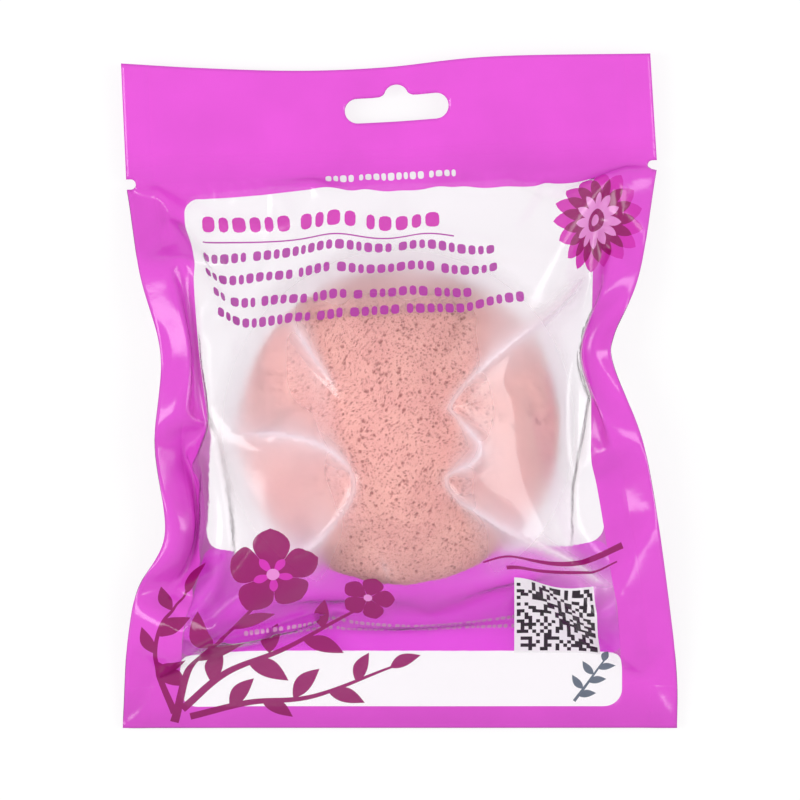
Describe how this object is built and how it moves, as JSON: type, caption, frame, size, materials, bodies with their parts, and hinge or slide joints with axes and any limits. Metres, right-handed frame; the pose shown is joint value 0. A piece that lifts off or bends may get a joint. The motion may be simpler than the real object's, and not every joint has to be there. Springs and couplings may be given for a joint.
{
  "type": "konjac sponge in film pouch",
  "caption": "Pink konjac face sponge, a porous flattened half ball, sealed in a puffed clear and printed film pouch with welded seams and a tear-off header with a hang slot.",
  "frame": {"origin": "on the table, under the middle of the pouch's bounding box as it lies on its back", "axes": "+Z out of the front film, +Y from the bottom seal to the hang slot, +X to the right of the print"},
  "size_m": [0.1398, 0.1698, 0.0281],
  "materials": {
    "konjac_foam": "matte",
    "clear_film": "gloss",
    "printed_film": "gloss",
    "welded_film": "gloss"
  },
  "bodies": {
    "pouch": {"front_film": "clear_film", "back_film": "printed_film", "left_side_seal": "welded_film", "right_side_seal": "welded_film", "bottom_seal": "welded_film"},
    "header": {"tear_off_header": "welded_film"},
    "sponge": {"konjac_sponge": "konjac_foam"}
  },
  "joints": [
    {"name": "header_fold", "type": "hinge", "parent": "pouch", "child": "header", "pos_m": [-0.00196, 0.05425, 0.00481], "axis": [0.9993, 0.0375, 0], "range_deg": [-6, 125]},
    {"name": "sponge_shift", "type": "slide", "parent": "pouch", "child": "sponge", "axis": [0, 1, 0], "range_m": [-0.004, 0.004]}
  ]
}
